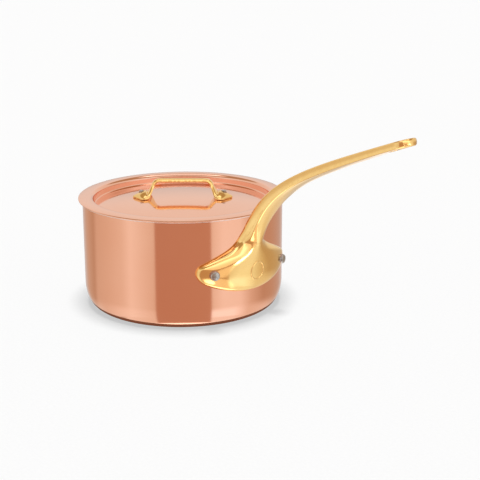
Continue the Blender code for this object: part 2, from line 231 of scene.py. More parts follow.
def make_object(name, bm, material, sharp_angle=35):
    """Turns a bmesh in millimetres into a named object in metres."""
    bmesh.ops.recalc_face_normals(bm, faces=bm.faces)
    bmesh.ops.scale(bm, vec=(MM, MM, MM), verts=bm.verts)
    mesh = bpy.data.meshes.new(name)
    bm.to_mesh(mesh)
    bm.free()
    mesh.materials.append(material)
    mesh.shade_smooth()
    mesh.set_sharp_from_angle(angle=math.radians(sharp_angle))
    obj = bpy.data.objects.new(name, mesh)
    bpy.context.scene.collection.objects.link(obj)
    return obj


def turned(name, outline, steps, material, place=Matrix()):
    """A solid turned about Z from a (radius, height) outline whose two ends are on the axis."""
    bm = bmesh.new()
    rings = []
    for radius, height in outline:
        if radius < 1e-6:
            rings.append([bm.verts.new(place @ Vector((0.0, 0.0, height)))] * steps)
            continue
        ring = []
        for step in range(steps):
            angle = 2 * math.pi * step / steps
            corner = Vector((radius * math.cos(angle), radius * math.sin(angle), height))
            ring.append(bm.verts.new(place @ corner))
        rings.append(ring)
    for low, high in zip(rings, rings[1:]):
        for step in range(steps):
            after = (step + 1) % steps
            corners = [low[step], low[after], high[after], high[step]]
            bm.faces.new(list(dict.fromkeys(corners)))
    return make_object(name, bm, material)


def cut(obj, cutters):
    """Takes the cutters' shapes out of a casting for good."""
    for cutter in cutters:
        modifier = obj.modifiers.new("cut", "BOOLEAN")
        modifier.operation = "DIFFERENCE"
        modifier.solver = "EXACT"
        modifier.object = cutter
    graph = bpy.context.evaluated_depsgraph_get()
    mesh = bpy.data.meshes.new_from_object(obj.evaluated_get(graph))
    obj.modifiers.clear()
    obj.data = mesh
    mesh.set_sharp_from_angle(angle=math.radians(CAST_SHARP_ANGLE))
    for cutter in cutters:
        bpy.data.objects.remove(cutter)


# --- Pan bowl and lid ---

def bowl_surface(inset):
    """The bowl's outer surface moved inward by inset, from the axis up to the rim."""
    corner_centre = (WALL_RADIUS - CORNER_WIDTH, CORNER_HEIGHT)
    corner_radii = (CORNER_WIDTH - inset, CORNER_HEIGHT - inset)
    corner = arc(corner_centre, corner_radii, -90, 0, 28)
    floor = [(0.0, inset), (24.0, inset), (48.0, inset)]
    return floor + corner


def bowl_layer(name, outer_inset, inner_inset, outer_rounding, inner_rounding, material):
    """The bowl's copper or its lining: the space between two insets, closed over the rim."""
    outer_radius = WALL_RADIUS - outer_inset
    inner_radius = WALL_RADIUS - inner_inset
    lip = arc((outer_radius - outer_rounding, RIM_HEIGHT - outer_rounding),
              (outer_rounding, outer_rounding), 0, 90, 4)
    lip += arc((inner_radius + inner_rounding, RIM_HEIGHT - inner_rounding),
               (inner_rounding, inner_rounding), 90, 180, 4)
    outline = bowl_surface(outer_inset) + lip + bowl_surface(inner_inset)[::-1]
    return turned(name, outline, TURN_STEPS, material)


def dome_height(radius):
    """Height of the domed centre's top surface at a distance from the axis."""
    return DOME_TOP - radius ** 2 / (2 * DOME_RADIUS)


def lid_surface(inset):
    """The lid's top surface moved down by inset, from the axis out onto the flange."""
    edge_slope = math.degrees(math.atan(LID_WALL_RADIUS / DOME_RADIUS))
    fillet_start = -90 - edge_slope
    fillet_x = LID_WALL_RADIUS - FILLET_RADIUS
    dome_edge = fillet_x + FILLET_RADIUS * math.cos(math.radians(fillet_start))
    fillet_z = dome_height(dome_edge) - FILLET_RADIUS * math.sin(math.radians(fillet_start))
    fillet_size = FILLET_RADIUS + inset
    shoulder_size = SHOULDER_RADIUS - inset
    shoulder_centre = (LID_WALL_RADIUS + SHOULDER_RADIUS, LID_TOP - SHOULDER_RADIUS)
    dome = [(r, dome_height(r) - inset) for r in np.linspace(0.0, DOME_REACH, 18)]
    fillet = arc((fillet_x, fillet_z), (fillet_size, fillet_size), fillet_start, 0, 8)
    shoulder = arc(shoulder_centre, (shoulder_size, shoulder_size), 180, 90, 10)
    return dome + fillet + shoulder


def flange_height(radius):
    """Height of the flange's top at a distance from the axis."""
    outside = max(radius - DROOP_START, 0.0)
    return LID_TOP - DROOP_SLOPE * outside ** 2 / (2 * (LID_RADIUS - DROOP_START))


def flange(inset, reach):
    """The drooping part of the flange's surface moved down by inset, out to a reach."""
    return [(r, flange_height(r) - inset) for r in np.linspace(DROOP_START, reach, 8)]


def lid_layer(name, top_inset, bottom_inset, rim_radius, rounding, material):
    """The lid's copper or its lining: the space between two insets, closed at the edge."""
    half = (bottom_inset - top_inset) / 2
    edge_centre = (rim_radius - rounding, flange_height(rim_radius) - top_inset - half)
    edge = arc(edge_centre, (rounding, half), 90, -90, 8)
    reach = rim_radius - rounding - FLANGE_MARGIN
    top = lid_surface(top_inset) + flange(top_inset, reach)
    bottom = lid_surface(bottom_inset) + flange(bottom_inset, reach)
    return turned(name, top + edge + bottom[::-1], TURN_STEPS, material)


# --- Cast strips: the two handles ---

class Spine:
    """A path in a vertical plane, read by the distance along it."""

    def __init__(self, points, start=0.0):
        self.points = np.array(points, dtype=float)
        steps = np.linalg.norm(np.diff(self.points, axis=0), axis=1)
        self.along = start + np.concatenate([[0.0], np.cumsum(steps)])
        slopes = np.gradient(self.points, self.along, axis=0)
        self.angle = np.unwrap(np.arctan2(slopes[:, 1], slopes[:, 0]))
        self.end = self.along[-1]

    def at(self, distance):
        """Reach, height and direction at a distance along the path."""
        reach = np.interp(distance, self.along, self.points[:, 0])
        height = np.interp(distance, self.along, self.points[:, 1])
        return reach, height, np.interp(distance, self.along, self.angle)


def bezier(controls, steps):
    """Points of a cubic curve, without its first."""
    points = []
    for step in range(1, steps + 1):
        t = step / steps
        weights = ((1 - t) ** 3, 3 * (1 - t) ** 2 * t, 3 * (1 - t) * t ** 2, t ** 3)
        x = sum(weight * control[0] for weight, control in zip(weights, controls))
        z = sum(weight * control[1] for weight, control in zip(weights, controls))
        points.append((x, z))
    return points


def bent_path(corners, radii, steps=16):
    """A path of straight runs with a round bend at each inner corner."""
    corners = [Vector(corner) for corner in corners]
    points = [corners[0]]
    for before, corner, after, radius in zip(corners, corners[1:], corners[2:], radii):
        back = (before - corner).normalized()
        ahead = (after - corner).normalized()
        half_angle = back.angle(ahead) / 2
        centre = corner + (back + ahead).normalized() * (radius / math.sin(half_angle))
        tangent = radius / math.tan(half_angle)
        first = corner + back * tangent - centre
        last = corner + ahead * tangent - centre
        for step in range(steps + 1):
            swing = first.lerp(last, step / steps)
            points.append(centre + swing.normalized() * radius)
    points.append(corners[-1])
    return points


def row_places(start, end, ease, spacing):
    """Places along a strip: spacing apart, but closing up over the last bit to each end."""
    steps = 9
    lead = [ease * (step / steps) ** 2 for step in range(steps)]
    count = round((end - start - 2 * ease) / spacing)
    middle = [start + ease + (end - start - 2 * ease) * step / count for step in range(count + 1)]
    return [start + step for step in lead] + middle + [end - step for step in lead[::-1]]


def smooth_rows(stations, places):
    """Rows at the places, on smooth curves through the stations."""
    table = np.array(stations)
    table = np.vstack([2 * table[0] - table[1], table, 2 * table[-1] - table[-2]])
    rows = []
    for place in places:
        index = int(np.clip(np.searchsorted(table[:, 0], place, "right"), 2, len(table) - 2))
        before, start, end, after = table[index - 2:index + 2]
        t = (place - start[0]) / (end[0] - start[0])
        rows.append(start + 0.5 * t * (end - before + t * (
            2 * before - 5 * start + 4 * end - after + t * (3 * (start - end) + after - before))))
    return rows


def edge_drop(distance, radius):
    """How far a rounded edge has fallen away at a distance from the outline."""
    if distance >= radius:
        return 0.0
    return radius - math.sqrt(radius ** 2 - (radius - distance) ** 2)


def dense_path(points, spacing=0.25):
    """Points about spacing apart along a path."""
    steps = np.linalg.norm(np.diff(points, axis=0), axis=1)
    along = np.concatenate([[0.0], np.cumsum(steps)])
    places = np.linspace(0.0, along[-1], max(2, round(along[-1] / spacing)))
    return np.stack([np.interp(places, along, points[:, axis]) for axis in (0, 1)], axis=1)


def strip_layout(rows, columns):
    """The strip laid out flat: an (across, along) point for each row and column."""
    shares = np.sin(math.pi / 2 * np.arange(-columns, columns + 1) / columns)
    layout = []
    for middle, half_width, side, *_ in rows:
        layout.append(np.stack([half_width * shares, middle + (side - middle) * shares ** 2], 1))
    return np.array(layout), shares


def border(grid):
    """The points round the edge of a grid, in order."""
    grid = [list(row) for row in grid]
    right = [row[-1] for row in grid[1:-1]]
    left = [row[0] for row in grid[-2:0:-1]]
    return grid[0] + right + grid[-1][::-1] + left


def outward_directions(outline):
    """The direction square to a closed outline at each of its points, away from its inside."""
    outline = np.array(outline)
    ahead = np.roll(outline, -1, axis=0) - np.roll(outline, 1, axis=0)
    ahead /= np.linalg.norm(ahead, axis=1)[:, None]
    return np.stack([ahead[:, 1], -ahead[:, 0]], axis=1)


def strip_faces(rows, columns, shape):
    """The front and back faces as grids of (across, along, out), with their edges rounded off."""
    layout, shares = strip_layout(rows, columns)
    outline = np.concatenate([dense_path(edge) for edge in
                              (layout[0], layout[-1], layout[:, 0], layout[:, -1])])
    front, back = [], []
    for row, places in zip(rows, layout):
        side_depth, middle_depth, narrowness = row[3:]
        gaps = places[:, None, :] - outline[None, :, :]
        distances = np.sqrt((gaps ** 2).sum(axis=2).min(axis=1))
        front_row, back_row = [], []
        for (across, along), share, distance in zip(places, shares, distances):
            front_radius, back_radius, lean = shape(along)
            front_radius = min(front_radius, EDGE_SHARE * side_depth)
            crown = (middle_depth - side_depth) * (1 - share ** 2) ** narrowness
            narrowing = 1 - lean * side_depth / row[1]
            front_row.append((across * narrowing, along,
                              side_depth + crown - edge_drop(distance, front_radius)))
            back_row.append((across, along, edge_drop(distance, back_radius)))
        front.append(front_row)
        back.append(back_row)
    return front, back


def cast_strip(name, rows, columns, shape, to_space, material):
    """A closed solid between a strip's back and front faces, with rounded edges.

    shape(along) gives the front edge's radius, the back edge's radius and how far the sides
    lean in for each unit of depth; to_space takes (across, along, out) to a point.
    """
    front, back = strip_faces(rows, columns, shape)
    bm = bmesh.new()
    faces = []
    for grid in (front, back):
        verts = [[bm.verts.new(to_space(*point)) for point in row] for row in grid]
        faces.append(verts)
        for low, high in zip(verts, verts[1:]):
            for a, b, c, d in zip(low, low[1:], high[1:], high):
                bm.faces.new((a, b, c, d))
    front_rim, back_rim = np.array(border(front)), np.array(border(back))
    away = outward_directions(back_rim[:, :2])
    rings = [border(faces[1])]
    for step in range(1, SIDE_STEPS):
        share = step / SIDE_STEPS
        ring = back_rim + (front_rim - back_rim) * share
        bulge = SIDE_BULGE * (front_rim[:, 2] - back_rim[:, 2]) * 4 * share * (1 - share)
        ring[:, :2] += away * bulge[:, None]
        rings.append([bm.verts.new(to_space(*point)) for point in ring])
    rings.append(border(faces[0]))
    for low, high in zip(rings, rings[1:]):
        for step in range(len(low)):
            after = (step + 1) % len(low)
            bm.faces.new((low[step], low[after], high[after], high[step]))
    return make_object(name, bm, material, CAST_SHARP_ANGLE)


def along_tables(*tables):
    """A function giving the tables' values together at a place along the strip."""
    tables = [(list(table), list(table.values())) for table in tables]
    return lambda along: [float(np.interp(along, *table)) for table in tables]


def long_handle_spine():
    """Up the wall, round the knee and out along the bar."""
    neck = Vector((math.cos(math.radians(NECK_ANGLE)), math.sin(math.radians(NECK_ANGLE))))
    bar = Vector((math.cos(math.radians(BAR_ANGLE)), math.sin(math.radians(BAR_ANGLE))))
    controls = [KNEE, KNEE + neck * NECK_REACH, BAR_END - bar * BAR_REACH, BAR_END]
    curve = bezier(controls, CURVE_STEPS)
    knee_end = Vector(curve[KNEE_STEPS])
    knee = bezier([(PLATE_RADIUS, NECK_FOOT), KNEE, KNEE, knee_end], 16)
    return Spine([(PLATE_RADIUS, 0.0), (PLATE_RADIUS, NECK_FOOT)] + knee + curve[KNEE_STEPS + 1:])


def wall_curvature(height):
    """One over the plate's radius on the wall, falling smoothly to zero along the neck."""
    low, high = UNWRAP_HEIGHTS
    t = min(max((height - low) / (high - low), 0.0), 1.0)
    return (1 - t * t * (3 - 2 * t)) / PLATE_RADIUS


def long_handle(material):
    """The whole casting: base plate on the wall, neck, bar, hanging hole and medallion."""
    spine = long_handle_spine()
    stations = list(LONG_HANDLE_STATIONS)
    centre = spine.end - END_RADIUS - END_SHORTENING
    depths = LONG_HANDLE_STATIONS[-1][3:]
    for angle in END_ANGLES:
        sine, cosine = math.sin(math.radians(angle)), math.cos(math.radians(angle))
        middle = centre + END_RADIUS * angle / END_ANGLES[-1]
        stations.append((middle, END_RADIUS * cosine, centre + END_RADIUS * sine, *depths))

    def to_space(across, along, out):
        reach, height, angle = spine.at(along)
        curvature = wall_curvature(along)
        turn = curvature * across
        sag = (1 - math.cos(turn)) / curvature if curvature else 0.0
        wide = math.sin(turn) / curvature if curvature else across
        level = out * math.cos(turn) - sag
        return Vector((reach + level * math.sin(angle), wide + out * math.sin(turn),
                       height - level * math.cos(angle)))

    front_edge = {**FRONT_EDGE, centre: BAR_EDGE, spine.end: END_ROUNDING}
    shape = along_tables(front_edge, BACK_EDGE, SIDE_LEAN)
    places = row_places(stations[0][0], stations[-1][0], ease=5.0, spacing=1.2)
    handle = cast_strip("long_handle_casting", smooth_rows(stations, places), 26, shape,
                        to_space, material)
    hole_middle = spine.end - HOLE_FROM_END - HOLE_LENGTH / 2
    cutters = [slot_cutter(*spine.at(hole_middle), depths[1], material)]
    for sign in (-1, 1):
        cutters.append(crevice_cutter(pan_rivet_place(sign), RIVET_RADIUS, 25.0, material))
    cut(handle, cutters)
    add_medallion(handle)
    return handle


def crevice_cutter(place, rivet_radius, top, material):
    """A round peg a little wider than the rivet at that place, up to a top past the casting."""
    radius = rivet_radius + RIVET_CREVICE
    outline = [(0.0, CREVICE_START), (radius, CREVICE_START), (radius, top), (0.0, top)]
    return turned("crevice_cutter", outline, RIVET_STEPS, material, place)


def add_medallion(handle):
    """Lays a plain oval bead on the face of the base plate."""
    bm = bmesh.new()
    bm.from_mesh(handle.data)
    surface = BVHTree.FromBMesh(bm)
    rings = []
    for step in range(MEDALLION_STEPS):
        angle = 2 * math.pi * step / MEDALLION_STEPS
        across = MEDALLION_WIDTH / 2 * math.cos(angle)
        height = MEDALLION_HEIGHT + MEDALLION_LENGTH / 2 * math.sin(angle)
        start = Vector((2 * PLATE_RADIUS, across, height)) * MM
        point, normal, *_ = surface.ray_cast(start, Vector((-1, 0, 0)))
        inward = -Vector((0, math.cos(angle), math.sin(angle)))
        inward = (inward - normal * inward.dot(normal)).normalized()
        ring = []
        for corner in range(MEDALLION_CORNERS):
            turn = 2 * math.pi * corner / MEDALLION_CORNERS
            offset = inward * math.cos(turn) + normal * (math.sin(turn) + MEDALLION_LIFT)
            ring.append(bm.verts.new(point + offset * (MEDALLION_BEAD * MM)))
        rings.append(ring)
    for step, ring in enumerate(rings):
        ahead = rings[(step + 1) % MEDALLION_STEPS]
        for corner in range(MEDALLION_CORNERS):
            after = (corner + 1) % MEDALLION_CORNERS
            face = bm.faces.new((ring[corner], ring[after], ahead[after], ahead[corner]))
            face.smooth = True
    bm.to_mesh(handle.data)
    bm.free()


def slot_cutter(reach, height, angle, depth, material):
    """A long round-ended peg square to the bar, flared to round the hanging hole's rims."""
    bm = bmesh.new()
    straight = (HOLE_LENGTH - HOLE_WIDTH) / 2
    tilt = Matrix.Rotation(-angle, 4, "Y")
    place = Matrix.Translation((reach, 0.0, height)) @ tilt
    beyond = 4.0
    levels = [(beyond, HOLE_LIP)]
    for x, z in arc((HOLE_LIP, HOLE_LIP), (HOLE_LIP, HOLE_LIP), -90, -180, 5):
        levels.append((-z, HOLE_LIP - x))
    for x, z in arc((HOLE_LIP, HOLE_LIP), (HOLE_LIP, HOLE_LIP), -180, -90, 5):
        levels.append((z - depth, HOLE_LIP - x))
    levels.append((-depth - beyond, HOLE_LIP))
    rings = []
    for level, flare in levels:
        radius = HOLE_WIDTH / 2 + flare
        outline = arc((straight, 0), (radius, radius), -90, 90, 16)
        outline += arc((-straight, 0), (radius, radius), 90, 270, 16)
        rings.append([bm.verts.new(place @ Vector((x, y, level))) for x, y in outline])
    bm.faces.new(rings[0])
    bm.faces.new(rings[-1])
    for low, high in zip(rings, rings[1:]):
        for step in range(len(low)):
            after = (step + 1) % len(low)
            bm.faces.new((low[step], low[after], high[after], high[step]))
    return make_object("hanging_hole_cutter", bm, material)


def lid_handle(material):
    """The bracket: a strip bent down at both ends of its bar and out again into the feet."""
    corners = [(0.0, GRIP_UNDERSIDE), (GRIP_CORNER, GRIP_UNDERSIDE),
               (LEG_FOOT, dome_height(LEG_FOOT) + FOOT_GAP),
               (FOOT_TIP, dome_height(FOOT_TIP) + FOOT_GAP)]
    spine = Spine(bent_path(corners, (GRIP_BEND, FOOT_BEND)))
    stretch = spine.end / LID_HANDLE_STATIONS[-1][0]
    half = []
    for middle, half_width, side, *depths in LID_HANDLE_STATIONS:
        half.append((middle * stretch, half_width, side * stretch, *depths))
    other_half = []
    for middle, half_width, side, *depths in half[:0:-1]:
        other_half.append((-middle, half_width, -side, *depths))
    turn = math.radians(LID_HANDLE_TURN)
    lengthwise = Vector((math.cos(turn), math.sin(turn), 0.0))
    crosswise = Vector((-math.sin(turn), math.cos(turn), 0.0))

    def to_space(across, along, out):
        reach, height, angle = spine.at(abs(along))
        reach -= out * math.sin(angle)
        point = lengthwise * math.copysign(reach, along) + crosswise * across
        point.z = height + out * math.cos(angle)
        return point

    tip = half[-1][0]
    rows = smooth_rows(other_half + half, row_places(-tip, tip, ease=3.0, spacing=0.5))
    shape = along_tables({0: GRIP_EDGE}, {0: GRIP_BACK_EDGE}, {0: GRIP_LEAN})
    handle = cast_strip("lid_handle_casting", rows, 16, shape, to_space, material)
    cut(handle, [crevice_cutter(lid_rivet_place(sign), LID_RIVET_RADIUS, 12.0, material)
                 for sign in (-1, 1)])
    return handle


# --- Rivets ---

def along_axis(origin, direction):
    """A placement that takes +Z to direction at origin."""
    turn = Vector((0, 0, 1)).rotation_difference(direction).to_matrix().to_4x4()
    return Matrix.Translation(origin) @ turn


def rivet(name, place, radius, tip, head_radius, head_depth, material):
    """A domed head below zero, a shank up from zero and a softly crowned end at tip."""
    head = [(head_radius * x, -head_depth * z) for x, z in arc((0, 0), (1, 1), 90, 0, 16)]
    rounding = 0.28 * radius
    crown = 0.1 * radius
    end = arc((radius - rounding, tip - crown - rounding), (rounding, rounding), 0, 75, 6)
    edge_radius, edge_height = end[-1]
    face = [(edge_radius * share, tip - (tip - edge_height) * share ** 2)
            for share in (0.75, 0.5, 0.25, 0.0)]
    outline = head + [(radius, 0.0)] + end + face
    return turned(name, outline, RIVET_STEPS, material, place)


def pan_rivet_seat():
    """How far from the pan's axis the flat of an inner head lies."""
    return math.sqrt((WALL_RADIUS - BOWL_INSIDE) ** 2 - RIVET_HEAD_RADIUS ** 2) - GAP


def pan_rivet_place(sign):
    angle = math.radians(RIVET_ANGLE) * sign
    outward = Vector((math.cos(angle), math.sin(angle), 0.0))
    return along_axis(outward * pan_rivet_seat() + Vector((0, 0, RIVET_HEIGHT)), outward)


def pan_rivet(side, sign, material):
    return rivet("pan_rivet_" + side, pan_rivet_place(sign), RIVET_RADIUS,
                 RIVET_TIP - pan_rivet_seat(), RIVET_HEAD_RADIUS, RIVET_HEAD_DEPTH, material)


def lid_rivet_seat():
    """Height of the flat of a head under the lid."""
    return dome_height(LID_RIVET_REACH + LID_RIVET_HEAD_RADIUS) - LID_THICKNESS - GAP


def lid_rivet_place(sign):
    turn = math.radians(LID_HANDLE_TURN)
    reach = Vector((math.cos(turn), math.sin(turn), 0.0)) * (LID_RIVET_REACH * sign)
    return Matrix.Translation(reach + Vector((0, 0, lid_rivet_seat())))


def lid_rivet(side, sign, material):
    return rivet("lid_stud_" + side, lid_rivet_place(sign), LID_RIVET_RADIUS,
                 LID_RIVET_TOP - lid_rivet_seat(), LID_RIVET_HEAD_RADIUS,
                 LID_RIVET_HEAD_DEPTH, material)


# --- Materials ---

class Nodes:
    """Short ways to add and join the nodes of one material."""

    def __init__(self, name):
        self.material = bpy.data.materials.new(name)
        self.material.use_nodes = True
        self.tree = self.material.node_tree
        self.shader = self.tree.nodes["Principled BSDF"]

    def add(self, kind, **settings):
        node = self.tree.nodes.new(kind)
        for key, value in settings.items():
            setattr(node, key, value)
        return node

    def feed(self, socket, value):
        if isinstance(value, bpy.types.NodeSocket):
            self.tree.links.new(value, socket)
        else:
            socket.default_value = value

    def math(self, operation, first, second=0.0):
        node = self.add("ShaderNodeMath", operation=operation)
        self.feed(node.inputs[0], first)
        self.feed(node.inputs[1], second)
        return node.outputs[0]

    def position(self):
        return self.add("ShaderNodeTexCoord").outputs["Object"]

    def stretched(self, stretch):
        """The position, in millimetres divided by a stretch along each axis."""
        node = self.add("ShaderNodeMapping")
        self.feed(node.inputs["Vector"], self.position())
        node.inputs["Scale"].default_value = [1 / (MM * length) for length in stretch]
        return node.outputs[0]

    def polar(self, turn_length, radial_length, upright_length):
        """The position as (angle, distance from Z, height), each over its own length."""
        split = self.add("ShaderNodeSeparateXYZ")
        self.feed(split.inputs[0], self.position())
        x, y, z = split.outputs
        radius = self.math("SQRT", self.math("ADD", self.math("MULTIPLY", x, x),
                                             self.math("MULTIPLY", y, y)))
        angle = self.math("ARCTAN2", y, x)
        join = self.add("ShaderNodeCombineXYZ")
        self.feed(join.inputs[0], self.math("MULTIPLY", angle, 1 / turn_length))
        self.feed(join.inputs[1], self.math("MULTIPLY", radius, 1 / (MM * radial_length)))
        self.feed(join.inputs[2], self.math("MULTIPLY", z, 1 / (MM * upright_length)))
        return join.outputs[0]

    def noise(self, vector, detail=3.0, roughness=0.5):
        node = self.add("ShaderNodeTexNoise")
        self.feed(node.inputs["Vector"], vector)
        node.inputs["Scale"].default_value = 1.0
        node.inputs["Detail"].default_value = detail
        node.inputs["Roughness"].default_value = roughness
        return node.outputs[0]

    def between(self, factor, low, high):
        """low to high as a noise goes over its usual range."""
        node = self.add("ShaderNodeMapRange")
        self.feed(node.inputs["Value"], factor)
        node.inputs["From Min"].default_value = 0.3
        node.inputs["From Max"].default_value = 0.7
        node.inputs["To Min"].default_value = low
        node.inputs["To Max"].default_value = high
        return node.outputs[0]

    def blend(self, factor, first, second):
        node = self.add("ShaderNodeMix", data_type="RGBA")
        self.feed(node.inputs[0], factor)
        self.feed(node.inputs[6], (*first, 1.0) if isinstance(first, tuple) else first)
        self.feed(node.inputs[7], (*second, 1.0) if isinstance(second, tuple) else second)
        return node.outputs[2]

    def bump(self, height, depth, after=None):
        """A bump of that depth in millimetres, laid over another one if given."""
        node = self.add("ShaderNodeBump")
        self.feed(node.inputs["Height"], height)
        node.inputs["Strength"].default_value = 1.0
        node.inputs["Distance"].default_value = depth * MM
        if after is not None:
            self.feed(node.inputs["Normal"], after)
        return node.outputs[0]

    def finish(self, colour, roughness, normal, metallic=1.0):
        inputs = self.shader.inputs
        inputs["Metallic"].default_value = metallic
        self.feed(inputs["Base Color"], colour)
        self.feed(inputs["Roughness"], roughness)
        self.feed(inputs["Normal"], normal)
        return self.material


def copper_material(name, colour, deep_colour, roughness):
    """Spun and polished copper: faint lines round the pan, slow changes of tone."""
    n = Nodes(name)
    clouds = n.noise(n.stretched((45, 45, 45)), 2.0)
    lines = n.noise(n.polar(0.9, 0.35, 0.35), 3.0, 0.6)
    tone = n.blend(n.between(clouds, 0.0, 0.5), colour, deep_colour)
    tone = n.blend(n.between(lines, 0.0, 0.25), tone, deep_colour)
    smear = n.math("ADD", n.between(lines, -0.015, 0.015), n.between(clouds, -0.01, 0.01))
    swell = n.noise(n.stretched((16, 16, 30)), 1.0)
    normal = n.bump(swell, 0.012)
    normal = n.bump(lines, 0.0006, normal)
    return n.finish(tone, n.math("ADD", smear, roughness), normal)


def bronze_material():
    """Cast and hand-polished bronze."""
    n = Nodes("bronze_polished")
    clouds = n.noise(n.stretched((14, 14, 14)), 2.0)
    grain = n.noise(n.stretched((0.5, 0.5, 0.5)), 4.0, 0.6)
    tone = n.blend(n.between(clouds, 0.0, 1.0), (0.98, 0.69, 0.285), (0.95, 0.64, 0.24))
    tone = n.blend(n.between(grain, 0.0, 0.3), tone, (0.9, 0.57, 0.2))
    roughness = n.math("ADD", n.between(clouds, 0.1, 0.15), n.between(grain, -0.02, 0.03))
    swell = n.noise(n.stretched((6, 6, 6)), 1.0)
    normal = n.bump(swell, 0.015)
    normal = n.bump(grain, 0.0025, normal)
    return n.finish(tone, roughness, normal)


def lining_material():
    """Steel brushed in rings on the lathe."""
    n = Nodes("steel_lining")
    clouds = n.noise(n.stretched((30, 30, 30)), 2.0)
    lines = n.noise(n.polar(0.7, 0.25, 0.25), 4.0, 0.65)
    tone = n.blend(n.between(lines, 0.0, 1.0), (0.84, 0.85, 0.87), (0.72, 0.73, 0.75))
    roughness = n.math("ADD", n.between(lines, 0.26, 0.36), n.between(clouds, -0.03, 0.03))
    tangent = n.add("ShaderNodeTangent", direction_type="RADIAL", axis="Z")
    n.feed(n.shader.inputs["Tangent"], tangent.outputs[0])
    n.shader.inputs["Anisotropic"].default_value = 0.6
    return n.finish(tone, roughness, n.bump(lines, 0.003))


def rivet_material():
    """Steel with the marks of the hammer."""
    n = Nodes("steel_rivet")
    marks = n.noise(n.stretched((1.6, 1.6, 1.6)), 2.0, 0.6)
    grain = n.noise(n.stretched((0.3, 0.3, 0.3)), 3.0)
    tone = n.blend(n.between(marks, 0.0, 1.0), (0.62, 0.61, 0.58), (0.33, 0.32, 0.3))
    roughness = n.math("ADD", n.between(marks, 0.25, 0.36), n.between(grain, -0.03, 0.03))
    normal = n.bump(marks, 0.12)
    return n.finish(tone, roughness, n.bump(grain, 0.006, normal))


def paper_material(name, colour, deep_colour, specular):
    """Matt paper with a fine fibre."""
    n = Nodes(name)
    fibre = n.noise(n.stretched((2.0, 2.0, 2.0)), 2.0)
    tone = n.blend(n.between(fibre, 0.0, 1.0), colour, deep_colour)
    n.shader.inputs["Specular IOR Level"].default_value = specular
    return n.finish(tone, 0.9, n.bump(fibre, 0.01), metallic=0.0)


# The same copper twice: the body's copy is tinted deeper and warmer than the lid's as painted
# light, for the warmer light its wall mirrors.
copper_body = copper_material("copper_body", (0.955, 0.535, 0.375), (0.93, 0.48, 0.32), 0.09)
copper_lid = copper_material("copper_lid", (0.955, 0.565, 0.42), (0.93, 0.51, 0.36), 0.09)
bronze = bronze_material()
lining_steel = lining_material()
rivet_steel = rivet_material()


# --- Pieces ---

def dress(piece, node, body):
    """Hides a CAD node, whose place the piece takes, and makes the piece move with its body.

    It is left out of the light that the floor gathers from all round, which would grey the floor.
    """
    piece.visible_diffuse = False
    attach(piece, body)
    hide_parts(node)


dress(bowl_layer("pan_copper", 0.0, COPPER, RIM_ROUNDING, SEAM_ROUNDING, copper_body),
      "pan_shell", "pan")
dress(bowl_layer("pan_steel", COPPER, BOWL_INSIDE, SEAM_ROUNDING, LINING_ROUNDING, lining_steel),
      "pan_lining", "pan")
handle = long_handle(bronze)
dress(handle, "long_handle", "pan")
handle.visible_glossy = False    # keeps the wall beside the neck clear of its reflection ...
handle.visible_shadow = False    # ... and the floor of its shadow
dress(lid_layer("lid_copper", 0.0, LID_COPPER, LID_RADIUS, FLANGE_EDGE, copper_lid),
      "lid_shell", "lid")
dress(lid_layer("lid_steel", LID_COPPER, LID_THICKNESS, LID_RADIUS - LID_LINING_SETBACK,
                LID_LINING_EDGE, lining_steel),
      "lid_lining", "lid")
grip = lid_handle(bronze)
dress(grip, "lid_handle", "lid")
for side, sign in (("left", 1), ("right", -1)):
    dress(pan_rivet(side, sign, rivet_steel), "handle_rivet_" + side, "pan")
    dress(lid_rivet(side, sign, rivet_steel), "lid_rivet_" + side, "lid")


# --- Studio ---

def warm(level):
    """A light's colour: the dimmer it is, the warmer."""
    return (level, level ** 1.5, level ** 2, 1.0)


DARK_LEFT = (0.55, 0.33, 0.24, 1.0)     # the broad dark card in front of the pan, at its left ...
DARK_RIGHT = (0.57, 0.35, 0.25, 1.0)    # ... and at its right
FAR_SIDE = (0.58, 0.56, 0.56, 1.0)      # beyond the pan, mirrored at its outermost edges
UNDER_LEFT = (0.33, 0.2, 0.1, 1.0)
CEILING = (0.48, 0.33, 0.2, 1.0)
OVERHEAD_RING = (2.1, 2.1, 2.1, 1.0)    # bright, round a plainer middle overhead
ZENITH = (0.85, 0.85, 0.85, 1.0)
NADIR = (2.0, 2.0, 2.0, 1.0)
BEHIND = (0.66, 0.62, 0.6, 1.0)
# What the pan sees round it, as (degrees from the camera, colour). The first three rings go by
# twice the angle of the surface that mirrors them, so that their bands run straight down the
# pan. At the level of its walls ...
LOW_RING = [
    (-180, FAR_SIDE), (-140, warm(0.62)), (-124, warm(0.56)), (-116, warm(0.71)),
    (-97, warm(0.76)), (-74, warm(0.84)), (-62, warm(0.95)), (-40, warm(0.83)),
    (-32.5, warm(0.79)), (-31.5, DARK_LEFT), (31.5, DARK_RIGHT), (32.5, warm(0.86)),
    (46, warm(0.98)), (68, warm(0.96)), (84, warm(0.74)), (104, warm(0.56)),
    (122, warm(0.57)), (180, FAR_SIDE),
]
# ... below them ...
DEEP_RING = [
    (-180, warm(0.9)), (-104, warm(0.8)), (-62, warm(1.0)), (-32.5, warm(0.85)),
    (-31.5, DARK_LEFT), (31.5, DARK_RIGHT), (32.5, warm(1.15)), (60, warm(1.15)),
    (80, warm(0.85)), (180, warm(0.8)),
]
# ... and nearly straight down
EDGE_RING = [
    (-180, UNDER_LEFT), (-85, UNDER_LEFT), (-70, warm(0.95)), (-32.5, warm(0.85)),
    (-31.5, DARK_LEFT), (31.5, DARK_RIGHT), (32.5, warm(1.0)), (60, warm(1.0)),
    (80, warm(0.85)), (180, warm(0.8)),
]
